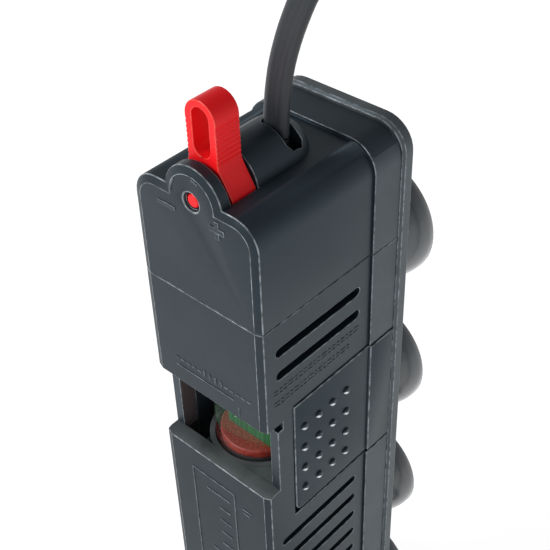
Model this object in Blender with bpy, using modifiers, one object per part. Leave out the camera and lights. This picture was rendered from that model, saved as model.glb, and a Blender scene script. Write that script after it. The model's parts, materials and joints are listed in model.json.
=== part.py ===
"""Submersible aquarium heater in a guard housing, with its mains lead.

Frame: +Z up, +Y from the front face to the suction cups, +X to the right seen from the front.
The origin is the middle of the heater's box at its foot. Sizes below are in millimetres times MM,
so every value in the file is in metres. Depths are counted from the front face, heights from the foot.
"""

import math

import bmesh
import bpy
from mathutils import Matrix, Vector

MM = 0.001

# Driving dimensions
BODY_WIDTH = 44 * MM
BODY_DEPTH = 45.2 * MM  # front face to the front edge of the rear slab
SLAB_DEPTH = 56.2 * MM  # front face to the back of the slab
PLATE_DEPTH = 60.5 * MM  # front face to the back of the plate
CUP_DEPTH = 77 * MM  # front face to the rims of the suction cups
SLAB_STEP = 0.8 * MM  # how far the slab stands proud of the body, and the plate of the slab
HEAD_SEAM = 208 * MM
SHOULDER = 242 * MM
SHOULDER_RADIUS = 8 * MM
BASE_SEAM = 10 * MM
WALL = 2.6 * MM
BAND_WIDTH = 2.3 * MM  # sloping band along the body's front edges
BAND_DROP = 0.85 * MM
GAP = 0.3 * MM  # clearance between neighbouring pieces

# Lever and its gear train
PIVOT_HEIGHT = 240.5 * MM
DOME_RADIUS = 10.1 * MM
DOME_DEPTH = 4.1 * MM
HUB_RADIUS = 9.6 * MM
LEVER_FRONT = 5.2 * MM
HUB_BACK = 13.6 * MM
DRUM_RADIUS = 10 * MM
DRUM_FRONT = 14 * MM
DRUM_END = 29.8 * MM  # where the drum's rounded end begins
FINGER_WIDTH = 10.4 * MM
FINGER_TOP = 267 * MM
SPINDLE_DEPTH = 22 * MM
BEVEL_RADIUS = 5.3 * MM
BEVEL_TEETH = 12

# Window, slots and latches
WINDOW_FOOT = 143.2 * MM
WINDOW_TOP = 171 * MM
WINDOW_DEPTH = 4.95 * MM
SLOT_FRONT = 5.2 * MM
SLOT_BACK = 40.6 * MM
SLOT_HEIGHT = 2.8 * MM
UPPER_SLOTS = (198 * MM, 189.6 * MM)
GRILLE_TOP = 117.3 * MM
GRILLE_PITCH = 9.05 * MM
GRILLE_COUNT = 9
LATCH_FRONT = 11.5 * MM
LATCH_FOOT = 127.5 * MM
LATCH_TOP = 173.3 * MM
NUB_PITCH_DEPTH = 6.35 * MM
NUB_PITCH_HEIGHT = 8.95 * MM

# Heating tube
TUBE_X = 0.2 * MM
TUBE_AXIS_DEPTH = 19.6 * MM
TUBE_RADIUS = 13.9 * MM
TUBE_BORE = 12.7 * MM
TUBE_FOOT = 20 * MM
TUBE_TOP = 216 * MM
DISC_RADIUS = 12.3 * MM
DISC_FOOT = 142.8 * MM
DISC_TOP = 145.7 * MM

# Suction cups
CUP_RADIUS = 21.6 * MM
CUP_HEIGHTS = (195 * MM, 137.5 * MM, 80 * MM, 22.5 * MM)

# Mains lead
LEAD_RADIUS = 2.6 * MM
LEAD_X = 1.6 * MM
LEAD_DEPTH = 30.2 * MM
CLAMP_DEPTH = 35.4 * MM
SUPPLY_X = (5 * MM, 8 * MM)  # the two conductors, where they enter the tube
COIL_X = 70 * MM
COIL_Y = -8 * MM
COIL_RADIUS = 33.4 * MM
COIL_HALF_WIDTH = 7.9 * MM
COIL_FOOT = 0.9 * MM
COIL_TOP = 14.6 * MM

FRONT = -CUP_DEPTH / 2  # world Y of the front face
ROUND = 32  # sides of a large round piece
SMALL_ROUND = 16  # sides of a small one

PART = "aquarium_heater"


def clear_scene():
    for block in list(bpy.data.objects):
        bpy.data.objects.remove(block, do_unlink=True)


def collection(name, hidden=False):
    made = bpy.data.collections.new(name)
    bpy.context.scene.collection.children.link(made)
    made.hide_render = hidden
    return made


def material(name, color, roughness=0.5, metallic=0.0, alpha=1.0):
    made = bpy.data.materials.new(name)
    made.use_nodes = True
    shader = made.node_tree.nodes["Principled BSDF"]
    shader.inputs["Base Color"].default_value = (*color, 1)
    shader.inputs["Roughness"].default_value = roughness
    shader.inputs["Metallic"].default_value = metallic
    shader.inputs["Alpha"].default_value = alpha
    made.diffuse_color = (*color, alpha)
    return made


def finish(obj, name, color=(0.06, 0.07, 0.075), roughness=0.5, metallic=0.0, alpha=1.0):
    """Names a piece of the heater, gives it its own material and smooth round sides."""
    obj.name = name
    obj.data.name = name
    obj.data.materials.clear()
    obj.data.materials.append(material(name, color, roughness, metallic, alpha))
    for owner in list(obj.users_collection):
        owner.objects.unlink(obj)
    pieces.objects.link(obj)
    if obj.type == "MESH":
        obj.data.shade_smooth()
        obj.data.set_sharp_from_angle(angle=math.radians(35))
    return obj


def helper(obj, name):
    """Makes an object a cutter or an added shape, which the build leaves out."""
    obj.name = name
    obj.hide_render = True
    obj.display_type = "WIRE"
    for owner in list(obj.users_collection):
        owner.objects.unlink(obj)
    helpers.objects.link(obj)
    return obj


def from_bmesh(bm, name="shape"):
    bmesh.ops.recalc_face_normals(bm, faces=bm.faces)
    mesh = bpy.data.meshes.new(name)
    bm.to_mesh(mesh)
    bm.free()
    obj = bpy.data.objects.new(name, mesh)
    helpers.objects.link(obj)
    return obj


def box(x, depth, z):
    """A block between two x, two depths and two heights."""
    bm = bmesh.new()
    bmesh.ops.create_cube(bm, size=1)
    size = Vector((x[1] - x[0], depth[1] - depth[0], z[1] - z[0]))
    middle = Vector((sum(x) / 2, FRONT + sum(depth) / 2, sum(z) / 2))
    bmesh.ops.scale(bm, vec=size, verts=bm.verts)
    bmesh.ops.translate(bm, vec=middle, verts=bm.verts)
    return from_bmesh(bm)


def rod(radius, start, end, sides=SMALL_ROUND, end_radius=None):
    """A cylinder or cone from one point to another, each given as (x, depth, z)."""
    a = Vector((start[0], FRONT + start[1], start[2]))
    b = Vector((end[0], FRONT + end[1], end[2]))
    bm = bmesh.new()
    bmesh.ops.create_cone(
        bm,
        cap_ends=True,
        segments=sides,
        radius1=radius,
        radius2=radius if end_radius is None else end_radius,
        depth=(b - a).length,
    )
    turn = Vector((0, 0, 1)).rotation_difference(b - a).to_matrix().to_4x4()
    bmesh.ops.transform(bm, matrix=Matrix.Translation((a + b) / 2) @ turn, verts=bm.verts)
    return from_bmesh(bm)


def arc(cx, cy, radius, start, end, steps):
    """Points on a circle, angles in degrees."""
    points = []
    for i in range(steps + 1):
        angle = math.radians(start + (end - start) * i / steps)
        points.append((cx + radius * math.cos(angle), cy + radius * math.sin(angle)))
    return points


# Columns of a prism's turn: the outline's own x and y and its length, for each direction it can run.
TURNS = {
    "X": ((0, 1, 0), (0, 0, 1), (1, 0, 0)),
    "Y": ((1, 0, 0), (0, 0, 1), (0, -1, 0)),
    "Z": ((1, 0, 0), (0, 1, 0), (0, 0, 1)),
}


def prism(outlines, along, start, end):
    """Flat outlines, all solid or one inside another, stretched along X, Y or Z.

    Outlines are in (depth, z) for X, (x, z) for Y and (x, depth) for Z.
    """
    curve = bpy.data.curves.new("outline", "CURVE")
    curve.dimensions = "2D"
    curve.fill_mode = "BOTH"
    curve.extrude = abs(end - start) / 2
    for outline in outlines:
        spline = curve.splines.new("POLY")
        spline.points.add(len(outline) - 1)
        for point, (u, v) in zip(spline.points, outline):
            if along == "X":
                u += FRONT
            if along == "Z":
                v += FRONT
            point.co = (u, v, 0, 1)
        spline.use_cyclic_u = True
    flat = bpy.data.objects.new("outline", curve)
    helpers.objects.link(flat)
    turn = Matrix(TURNS[along]).transposed().to_4x4()
    middle = (start + end) / 2
    if along == "Y":
        middle += FRONT
    turn.translation = Vector([middle if axis == along else 0 for axis in "XYZ"])
    graph = bpy.context.evaluated_depsgraph_get()
    mesh = bpy.data.meshes.new_from_object(flat.evaluated_get(graph))
    bpy.data.objects.remove(flat)
    bm = bmesh.new()
    bm.from_mesh(mesh)
    bpy.data.meshes.remove(mesh)
    bmesh.ops.remove_doubles(bm, verts=bm.verts, dist=0.001 * MM)
    bmesh.ops.transform(bm, matrix=turn, verts=bm.verts)
    return from_bmesh(bm)


def turned(profile, steps=ROUND, place=(0, 0, 0), axis="Z"):
    """A profile of (radius, height) points, outer side downwards, turned about Z or about Y."""
    bm = bmesh.new()
    points = [bm.verts.new((r, 0, h)) for r, h in profile]
    on_axis = profile[0][0] == 0
    for a, b in zip(points, points[1:]):
        bm.edges.new((a, b))
    if not on_axis:
        bm.edges.new((points[-1], points[0]))
    mesh = bpy.data.meshes.new("profile")
    bm.to_mesh(mesh)
    bm.free()
    obj = bpy.data.objects.new("profile", mesh)
    helpers.objects.link(obj)
    screw = obj.modifiers.new("turn", "SCREW")
    screw.steps = steps
    screw.render_steps = steps
    screw.use_merge_vertices = True
    screw.merge_threshold = 0.00001
    obj.location = (place[0], FRONT + place[1], place[2])
    if axis == "Y":
        obj.rotation_euler = (math.radians(90), 0, 0)
    return obj


def joined(objects):
    """Several shapes that don't touch, as one mesh to cut or to add with."""
    bm = bmesh.new()
    for obj in objects:
        obj.data.transform(obj.matrix_basis)
        bm.from_mesh(obj.data)
        bpy.data.objects.remove(obj)
    return from_bmesh(bm)


def boolean(obj, other, operation, label):
    helper(other, f"{obj.name}_{label}")
    modifier = obj.modifiers.new(label, "BOOLEAN")
    modifier.object = other
    modifier.operation = operation
    return obj


def cut(obj, other, label):
    return boolean(obj, other, "DIFFERENCE", label)


def add(obj, other, label):
    return boolean(obj, other, "UNION", label)


def round_front(obj, foot, radius, segments=3):
    """Rounds the front edges of an upright prism, apart from the one at its foot."""
    bm = bmesh.new()
    bm.from_mesh(obj.data)
    front = min(vertex.co.y for vertex in bm.verts)
    edges = []
    for edge in bm.edges:
        on_front = all(abs(vertex.co.y - front) < 0.01 * MM for vertex in edge.verts)
        at_foot = all(abs(vertex.co.z - foot) < 0.01 * MM for vertex in edge.verts)
        if on_front and not at_foot and edge.calc_face_angle(0) > 1:
            edges.append(edge)
    bmesh.ops.bevel(bm, geom=edges, offset=radius, segments=segments, profile=0.5, affect="EDGES")
    bmesh.ops.recalc_face_normals(bm, faces=bm.faces)
    bm.to_mesh(obj.data)
    bm.free()
    return obj


def arch(half_width, foot, top, radius):
    """An upright outline with a flat foot and two rounded shoulders, in (x, z)."""
    points = [(half_width, foot)]
    points += arc(half_width - radius, top - radius, radius, 0, 90, 8)
    points += arc(radius - half_width, top - radius, radius, 90, 180, 8)
    points.append((-half_width, foot))
    return points


def body_plan(half_width, back):
    """A plan outline with a sloping band at each front corner, in (x, depth)."""
    flat = half_width - BAND_WIDTH
    sloping = [(-half_width, BAND_DROP), (-flat, 0), (flat, 0), (half_width, BAND_DROP)]
    return [(half_width, back), (-half_width, back), *sloping]


def banded(outline, inset, back):
    """An upright solid whose front edge slopes from the inset outline, at the front face, to the full one."""
    bm = bmesh.new()
    rings = []
    for points, depth in ((inset, 0), (outline, BAND_DROP), (outline, back)):
        rings.append([bm.verts.new((x, FRONT + depth, z)) for x, z in points])
    for near, far in zip(rings, rings[1:]):
        for i in range(len(near)):
            bm.faces.new((near[i - 1], near[i], far[i], far[i - 1]))
    bm.faces.new(rings[0])
    bm.faces.new(rings[-1])
    return from_bmesh(bm)


def slot_outline(front, back, middle, height):
    """A long hole with round ends, in (depth, z)."""
    end = height / 2
    points = arc(back - end, middle, end, -90, 90, 6)
    points += arc(front + end, middle, end, 90, 270, 6)
    return points


def slot_plan(x, front, back):
    """A hole through which a conductor passes, in (x, depth)."""
    radius = 1.2 * MM
    points = arc(x, back - radius, radius, 0, 180, 6)
    points += arc(x, front + radius, radius, 180, 360, 6)
    return points


def side_slots(heights, height):
    """Cutters for long holes through both sides."""
    outlines = [slot_outline(SLOT_FRONT, SLOT_BACK, z, height) for z in heights]
    return joined([prism([outline], "X", -BODY_WIDTH, BODY_WIDTH) for outline in outlines])


def head_housing():
    foot = HEAD_SEAM + GAP / 2
    half = BODY_WIDTH / 2
    outline = arch(half, foot, SHOULDER, SHOULDER_RADIUS)
    inset = arch(half - BAND_WIDTH, foot, SHOULDER - BAND_WIDTH, SHOULDER_RADIUS - BAND_WIDTH)
    obj = finish(banded(outline, inset, BODY_DEPTH + GAP), "head_housing")
    slab = arch(half + SLAB_STEP, foot, SHOULDER + SLAB_STEP + GAP, SHOULDER_RADIUS + SLAB_STEP)
    add(obj, prism([slab], "Y", BODY_DEPTH, SLAB_DEPTH), "slab")
    room = arch(half - WALL, foot - MM, SHOULDER - WALL, SHOULDER_RADIUS - WALL)
    cut(obj, prism([room], "Y", WALL, SLAB_DEPTH - WALL), "room")
    rim = arc(0, PIVOT_HEIGHT, DOME_RADIUS, 0, 348.75, 31)
    inset = arc(0, PIVOT_HEIGHT, DOME_RADIUS - BAND_WIDTH, 0, 348.75, 31)
    add(obj, banded(rim, inset, DOME_DEPTH), "dome")
    drum(obj)
    cord_outlet(obj)
    cut(obj, rod(2 * MM, (0, SPINDLE_DEPTH, 229 * MM), (0, SPINDLE_DEPTH, 236 * MM)), "spindle_passage")
    posts, holes = [], []
    for x in (-15 * MM, 15 * MM):
        posts.append(rod(3.2 * MM, (x, 50 * MM, foot), (x, 50 * MM, SHOULDER - MM)))
        holes.append(rod(1.6 * MM, (x, 50 * MM, foot - MM), (x, 50 * MM, 222 * MM), 12))
    for x in (-9 * MM, 9 * MM):
        posts.append(rod(2.8 * MM, (x, CLAMP_DEPTH, 230.5 * MM), (x, CLAMP_DEPTH, SHOULDER - MM)))
        holes.append(rod(1.4 * MM, (x, CLAMP_DEPTH, 229 * MM), (x, CLAMP_DEPTH, 238 * MM), 12))
    add(obj, joined(posts), "posts")
    cut(obj, joined(holes), "post_holes")


def drum(obj):
    """The hollow drum behind the lever, with the lever's pocket and the hole for its stub pin."""
    end = arc(0, 0, DRUM_RADIUS, 90, 0, 6)
    end[0] = (0, DRUM_RADIUS)
    profile = [*end, (DRUM_RADIUS, DRUM_FRONT - DRUM_END), (0, DRUM_FRONT - DRUM_END)]
    shell = turned(profile, ROUND, (0, DRUM_END, PIVOT_HEIGHT), "Y")
    shell.rotation_euler = (math.radians(-90), 0, 0)
    add(obj, shell, "drum")
    bore = rod(DRUM_RADIUS - 2 * MM, at_pivot(DRUM_FRONT + 1.6 * MM), at_pivot(DRUM_END), ROUND)
    cut(obj, bore, "drum_bore")
    pocket = rod(HUB_RADIUS + 2 * GAP, at_pivot(DOME_DEPTH), at_pivot(DRUM_FRONT), ROUND)
    cut(obj, pocket, "lever_pocket")
    cut(obj, rod(2.3 * MM, at_pivot(-MM), at_pivot(DRUM_FRONT + 2 * MM)), "pivot_hole")
    cut(obj, rod(3.6 * MM, at_pivot(-0.6 * MM), at_pivot(0.6 * MM), SMALL_ROUND, 2.4 * MM), "pivot_mouth")


def at_pivot(depth):
    return (0, depth, PIVOT_HEIGHT)


def cord_outlet(obj):
    """A round-ended shaft for the lead, and a wider mouth with a straight front edge at the drum's top."""
    shaft = prism([lead_outline(3.9 * MM, 2.9 * MM)], "Z", 229 * MM, PIVOT_HEIGHT + MM)
    cut(obj, shaft, "cord_shaft")
    front, back, corner = LEAD_DEPTH - 2.9 * MM, LEAD_DEPTH + 2.9 * MM, 1.2 * MM
    low, high = -2.1 * MM, 8.8 * MM
    mouth = [(low + corner, front), (high - corner, front), (high, front + corner), (high, back - corner)]
    mouth += [(high - corner, back), (low + corner, back), (low, back - corner), (low, front + corner)]
    cut(obj, prism([mouth], "Z", 241.1 * MM, 256 * MM), "cord_mouth")


def lead_outline(half_width, half_thickness):
    """The flat lead's section, in (x, depth)."""
    flat = half_width - half_thickness
    points = arc(LEAD_X + flat, LEAD_DEPTH, half_thickness, -90, 90, 6)
    points += arc(LEAD_X - flat, LEAD_DEPTH, half_thickness, 90, 270, 6)
    return points


def main_housing():
    foot = BASE_SEAM + GAP / 2
    top = HEAD_SEAM - GAP / 2
    half = BODY_WIDTH / 2
    obj = prism([body_plan(half, BODY_DEPTH + GAP)], "Z", foot, top)
    finish(obj, "main_housing")
    add(obj, box((-half - SLAB_STEP, half + SLAB_STEP), (BODY_DEPTH, SLAB_DEPTH), (foot, top)), "slab")
    inner = half - WALL
    cut(obj, box((-inner, inner), (WALL, SLAB_DEPTH - WALL), (foot - MM, top + MM)), "room")
    window = box((-BODY_WIDTH, BODY_WIDTH), (-MM, WINDOW_DEPTH), (WINDOW_FOOT, WINDOW_TOP))
    cut(obj, window, "window")
    cut(obj, side_slots(UPPER_SLOTS, 3.1 * MM), "upper_slots")
    grille = [GRILLE_TOP - i * GRILLE_PITCH for i in range(GRILLE_COUNT)]
    cut(obj, side_slots(grille, SLOT_HEIGHT), "grille")
    window_frame(obj, inner)
    cut_bays(obj, inner - 0.4 * MM, LATCH_FRONT - GAP, "latch_bays")
    cut_bays(obj, 17 * MM, BODY_DEPTH, "latch_travel")
    lugs = []
    for x in ((11 * MM, inner + MM), (-inner - MM, -11 * MM)):
        lugs.append(box(x, (46 * MM, 54.5 * MM), (203.5 * MM, top)))
        lugs.append(box(x, (46 * MM, 54.5 * MM), (14.5 * MM, 19 * MM)))
    add(obj, joined(lugs), "lugs")
    holes = [rod(1.6 * MM, (x, 50 * MM, 202 * MM), (x, 50 * MM, 210 * MM), 12) for x in (-15 * MM, 15 * MM)]
    holes += [rod(1.4 * MM, (x, 50 * MM, 8 * MM), (x, 50 * MM, 21 * MM), 12) for x in (-15 * MM, 15 * MM)]
    cut(obj, joined(holes), "lug_holes")


def cut_bays(obj, wall, front, label):
    """Room for the latch pads on both sides, from a wall plane outwards."""
    heights = (LATCH_FOOT - 1.5 * MM, LATCH_TOP + 0.5 * MM)
    sides = ((wall, BODY_WIDTH), (-BODY_WIDTH, -wall))
    cut(obj, joined([box(x, (front, SLAB_DEPTH + MM), heights) for x in sides]), label)


def window_frame(obj, inner):
    """The ledge and jambs of the window, its sloping sill, and the rings that hold the glass tube."""
    reach = inner + MM
    ledge_top = WINDOW_FOOT
    sides = ((18.7 * MM, reach), (-reach, -18.7 * MM))
    jambs = [box(x, (WINDOW_DEPTH, 10.4 * MM), (141 * MM, 172 * MM)) for x in sides]
    add(obj, joined(jambs), "jambs")
    sides = ((19.2 * MM, 24 * MM), (-24 * MM, -19.2 * MM))
    notches = [box(x, (4 * MM, 7.1 * MM), (168 * MM, WINDOW_TOP)) for x in sides]
    cut(obj, joined(notches), "notches")
    add(obj, box((-reach, reach), (MM, 5 * MM), (ledge_top - 2.4 * MM, ledge_top)), "window_ledge")
    web = ledge_top - 0.2 * MM
    add(obj, box((6 * MM, reach), (2 * MM, TUBE_AXIS_DEPTH), (ledge_top - 2.2 * MM, web)), "window_web")
    ring = rod(TUBE_RADIUS + 2 * MM, at_tube(ledge_top - 4 * MM), at_tube(ledge_top - 0.1 * MM), ROUND)
    add(obj, ring, "tube_ring")
    strap = box((-reach, reach), (TUBE_AXIS_DEPTH - 3 * MM, TUBE_AXIS_DEPTH + 3 * MM), (184 * MM, 187 * MM))
    add(obj, strap, "upper_strap")
    add(obj, rod(TUBE_RADIUS + 2 * MM, at_tube(183 * MM), at_tube(188 * MM), ROUND), "upper_ring")
    bore = rod(TUBE_RADIUS + GAP, at_tube(130 * MM), at_tube(192 * MM), ROUND)
    cut(obj, bore, "tube_bore")
    sill = [(BAND_WIDTH, ledge_top), (BAND_WIDTH, ledge_top + MM), (-MM, ledge_top + MM)]
    sill.append((-MM, ledge_top - BAND_DROP * (1 + MM / BAND_WIDTH)))
    cut(obj, prism([sill], "X", -24 * MM, 24 * MM), "sill")


def at_tube(z):
    return (TUBE_X, TUBE_AXIS_DEPTH, z)


def base_cap():
    half = BODY_WIDTH / 2
    top = BASE_SEAM - GAP / 2
    obj = prism([body_plan(half, BODY_DEPTH + GAP)], "Z", 0, top)
    finish(obj, "base_cap")
    add(obj, box((-half - SLAB_STEP, half + SLAB_STEP), (BODY_DEPTH, SLAB_DEPTH), (0, top)), "slab")
    inner = half - WALL - GAP
    add(obj, box((-inner, inner), (WALL + GAP, SLAB_DEPTH - WALL - GAP), (8 * MM, 13.8 * MM)), "spigot")
    inner -= 2.2 * MM
    cut(obj, box((-inner, inner), (5 * MM, 46 * MM), (3 * MM, 15 * MM)), "room")
    places = [(x * MM, y * MM) for x in (-13, 15) for y in (9, 40)]
    holes = [rod(2.2 * MM, (x, y, -MM), (x, y, 5 * MM), 12) for x, y in places]
    cut(obj, joined(holes), "vents")
    holes = [rod(1.6 * MM, (x * MM, 50 * MM, -MM), (x * MM, 50 * MM, 15 * MM), 12) for x in (-15, 15)]
    holes += [rod(3 * MM, (x * MM, 50 * MM, -MM), (x * MM, 50 * MM, 2.4 * MM), 16) for x in (-15, 15)]
    cut(obj, joined(holes[:2]), "screw_holes")
    cut(obj, joined(holes[2:]), "screw_heads")


def back_plate():
    half = BODY_WIDTH / 2 + 2 * SLAB_STEP
    outline = arch(half, 0.6 * MM, SHOULDER + 3 * SLAB_STEP, SHOULDER_RADIUS + 1.2 * MM)
    front = SLAB_DEPTH + GAP
    plate = round_front(prism([outline], "Y", front, PLATE_DEPTH), 0.6 * MM, 0.8 * MM, 1)
    obj = finish(plate, "back_plate")
    necks = [rod(4.5 * MM, (0, front - MM, z), (0, PLATE_DEPTH + MM, z)) for z in CUP_HEIGHTS]
    cut(obj, joined(necks), "cup_holes")
    heads = [rod(7 * MM, (0, front - MM, z), (0, front + 1.8 * MM, z)) for z in CUP_HEIGHTS]
    cut(obj, joined(heads), "cup_seats")
    sides = ((16.6 * MM, 22.2 * MM), (-22.2 * MM, -16.6 * MM))
    catches = [box(x, (front - MM, PLATE_DEPTH + MM), (139 * MM, 162 * MM)) for x in sides]
    cut(obj, joined(catches), "latch_catches")


def suction_cup(number, height):
    """A rubber cup: a knob in the plate's seat, a neck, and a bell that opens to the back."""
    bell = arc(4.2 * MM, 0, CUP_RADIUS - 4.2 * MM, 90, 6, 5)
    outer = [(r, CUP_DEPTH - MM - h * 0.83) for r, h in bell]
    inner = arc(0, 0, 1, 8, 90, 4)
    cup_floor = 66.2 * MM
    hollow = [((CUP_RADIUS - 1.9 * MM) * u, CUP_DEPTH - (CUP_DEPTH - cup_floor) * v) for u, v in inner]
    hollow[-1] = (0, cup_floor)
    knob = [(0, 56.9 * MM), (6.6 * MM, 56.9 * MM), (6.6 * MM, 57.6 * MM), (4.2 * MM, 58 * MM)]
    rim = [(CUP_RADIUS, CUP_DEPTH - 0.6 * MM), (CUP_RADIUS - 0.3 * MM, CUP_DEPTH)]
    rim.append((CUP_RADIUS - 2.6 * MM, CUP_DEPTH))
    profile = [(r, -h) for r, h in [*knob, *outer, *rim, *hollow]]
    obj = turned(profile, 28, (0, 0, height), "Y")
    return finish(obj, f"suction_cup_{number}", (0.03, 0.033, 0.036), 0.3)


def latch_pad(side, name):
    """A squeeze panel hinged at its front edge, with grip nubs and a tongue that holds the back plate."""
    half = BODY_WIDTH / 2

    def across(near, far):
        return tuple(sorted((side * near, side * far)))

    corner = 3 * MM
    back = SLAB_DEPTH - GAP
    outline = [(back, LATCH_FOOT), (back, LATCH_TOP), (LATCH_FRONT, LATCH_TOP)]
    outline += arc(LATCH_FRONT + corner, LATCH_FOOT + corner, corner, 180, 270, 5)
    inner = half - WALL + 0.4 * MM
    obj = prism([outline], "X", *across(inner, half + 0.4 * MM))
    finish(obj, name)
    slab_width = across(inner + 0.2 * MM, half + SLAB_STEP + 0.4 * MM)
    add(obj, box(slab_width, (BODY_DEPTH, back), (LATCH_FOOT, LATCH_TOP)), "slab")
    tongue = box(across(20.2 * MM, 21.9 * MM), (back - MM, SLAB_DEPTH + 2.4 * MM), (141 * MM, 160 * MM))
    add(obj, tongue, "tongue")
    face = half + 0.4 * MM
    nubs = []
    for column in range(4):
        for row in range(4):
            depth = 15.5 * MM + column * NUB_PITCH_DEPTH
            z = 163 * MM - row * NUB_PITCH_HEIGHT
            root, tip = side * (face - 0.3 * MM), side * (face + 0.8 * MM)
            nubs.append(rod(1.3 * MM, (root, depth, z), (tip, depth, z), 8, 0.7 * MM))
    add(obj, joined(nubs), "nubs")


def temperature_lever():
    """The hub, the finger with its long hole and the stub pin, all one moulding."""
    half = FINGER_WIDTH / 2
    top = FINGER_TOP - half
    foot = PIVOT_HEIGHT + 8.7 * MM
    outline = arc(0, top, half, 0, 180, 12)
    outline.append((-half, foot))
    outline += arc(0, PIVOT_HEIGHT, HUB_RADIUS, 170, 370, 22)
    outline.append((half, foot))
    hole = arc(0, PIVOT_HEIGHT + 21.6 * MM, 2.95 * MM, 0, 180, 8)
    hole += arc(0, PIVOT_HEIGHT + 13.4 * MM, 2.95 * MM, 180, 360, 8)
    obj = prism([outline, hole], "Y", LEVER_FRONT, HUB_BACK)
    finish(obj, "temperature_lever", (0.75, 0.04, 0.025), 0.35)
    add(obj, rod(1.95 * MM, at_pivot(0.6 * MM), at_pivot(6 * MM)), "stub_pin")
    cut(obj, rod(2.1 * MM, at_pivot(8.6 * MM), at_pivot(HUB_BACK + MM)), "shaft_bore")


def bevel_gear(name, apex_distance, axis):
    """A bevel gear whose teeth shrink towards the point where the two shafts meet."""
    tip, root = BEVEL_RADIUS, BEVEL_RADIUS - 1.2 * MM
    outline = []
    for tooth in range(BEVEL_TEETH):
        middle = 360 * tooth / BEVEL_TEETH
        for radius, offset in ((root, -9), (tip, -4), (tip, 4), (root, 9)):
            outline += arc(0, 0, radius, middle + offset, middle + offset, 1)[:1]
    bore = arc(0, 0, 1.95 * MM, 0, 330, 11)
    obj = prism([outline, bore], "Z", 0, 2.6 * MM)
    mesh = obj.data
    for vertex in mesh.vertices:
        flat = Vector((vertex.co.x, vertex.co.y - FRONT, 0))
        if vertex.co.z > MM and flat.length > 2.5 * MM:
            flat.length = max(flat.length * 0.54, 2.3 * MM)
        vertex.co = (flat.x, flat.y, vertex.co.z)
    meeting = Vector((0, FRONT + SPINDLE_DEPTH, PIVOT_HEIGHT))
    if axis == "Y":
        turn = Matrix.Rotation(math.radians(-90), 4, "X")
        place = meeting - Vector((0, apex_distance, 0))
    else:
        turn = Matrix.Identity(4)
        place = meeting - Vector((0, 0, apex_distance))
    mesh.transform(Matrix.Translation(place) @ turn)
    return finish(obj, name, (0.85, 0.83, 0.78), 0.4)


def setting_train():
    brass = (0.78, 0.6, 0.28)
    shaft = rod(1.6 * MM, (0, 9 * MM, PIVOT_HEIGHT), (0, SPINDLE_DEPTH - 3 * MM, PIVOT_HEIGHT))
    finish(shaft, "setting_shaft", brass, 0.3, 1)
    bevel_gear("setting_bevel", 5.6 * MM, "Y")
    bevel_gear("spindle_bevel", 5.6 * MM, "Z")
    spindle = rod(1.6 * MM, (0, SPINDLE_DEPTH, 186 * MM), (0, SPINDLE_DEPTH, PIVOT_HEIGHT - 3.2 * MM))
    finish(spindle, "setting_spindle", brass, 0.3, 1)
    depths = (SPINDLE_DEPTH - 2.8 * MM, SPINDLE_DEPTH + 2.6 * MM)
    nut = box((-3.4 * MM, 3.4 * MM), depths, (191 * MM, 195.5 * MM))
    finish(nut, "setting_nut", (0.8, 0.78, 0.72), 0.4)
    cut(nut, rod(1.9 * MM, (0, SPINDLE_DEPTH, 190 * MM), (0, SPINDLE_DEPTH, 197 * MM)), "thread")


def glass_tube():
    bottom = TUBE_FOOT + TUBE_RADIUS
    inner = arc(0, bottom, TUBE_BORE, -90, 0, 4)
    outer = arc(0, bottom, TUBE_RADIUS, 0, -90, 4)
    inner[0] = (0, bottom - TUBE_BORE)
    outer[-1] = (0, bottom - TUBE_RADIUS)
    # The walk goes from the axis up the bore, over the rim and down the outside to the axis again.
    profile = [*inner, (TUBE_BORE, TUBE_TOP), (TUBE_RADIUS, TUBE_TOP), *outer]
    obj = turned(profile, ROUND, (TUBE_X, TUBE_AXIS_DEPTH, 0))
    finish(obj, "glass_tube", (0.75, 0.8, 0.82), 0.05, 0, 0.3)


def tube_fittings():
    rubber = (0.02, 0.02, 0.02)
    profile = [(0, 221 * MM), (14.6 * MM, 221 * MM), (14.6 * MM, 216.3 * MM)]
    profile += [(12.3 * MM, 216.3 * MM), (12.3 * MM, 204 * MM), (0, 204 * MM)]
    plug = turned(profile, ROUND, at_tube(0))
    finish(plug, "tube_head", rubber, 0.6)
    bores = [rod(1.9 * MM, (0, SPINDLE_DEPTH, 202 * MM), (0, SPINDLE_DEPTH, 223 * MM))]
    bores += [prism([slot_plan(x, 15.2 * MM, 18.3 * MM)], "Z", 202 * MM, 223 * MM) for x in SUPPLY_X]
    cut(plug, joined(bores), "bores")
    profile = [(15 * MM, 215 * MM), (15 * MM, 211.5 * MM), (14.2 * MM, 211.5 * MM), (14.2 * MM, 215 * MM)]
    seal = turned(profile, ROUND, at_tube(0))
    finish(seal, "tube_seal_ring", rubber, 0.5)
    profile = [(0, 19.6 * MM), (7.2 * MM, 19.6 * MM), (13.3 * MM, 27 * MM), (14.3 * MM, 33 * MM)]
    profile += [(14.9 * MM, 33 * MM), (14.9 * MM, 25 * MM), (8 * MM, 3.3 * MM), (0, 3.3 * MM)]
    cushion = turned(profile, ROUND, at_tube(0))
    finish(cushion, "tube_cushion", rubber, 0.6)


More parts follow.
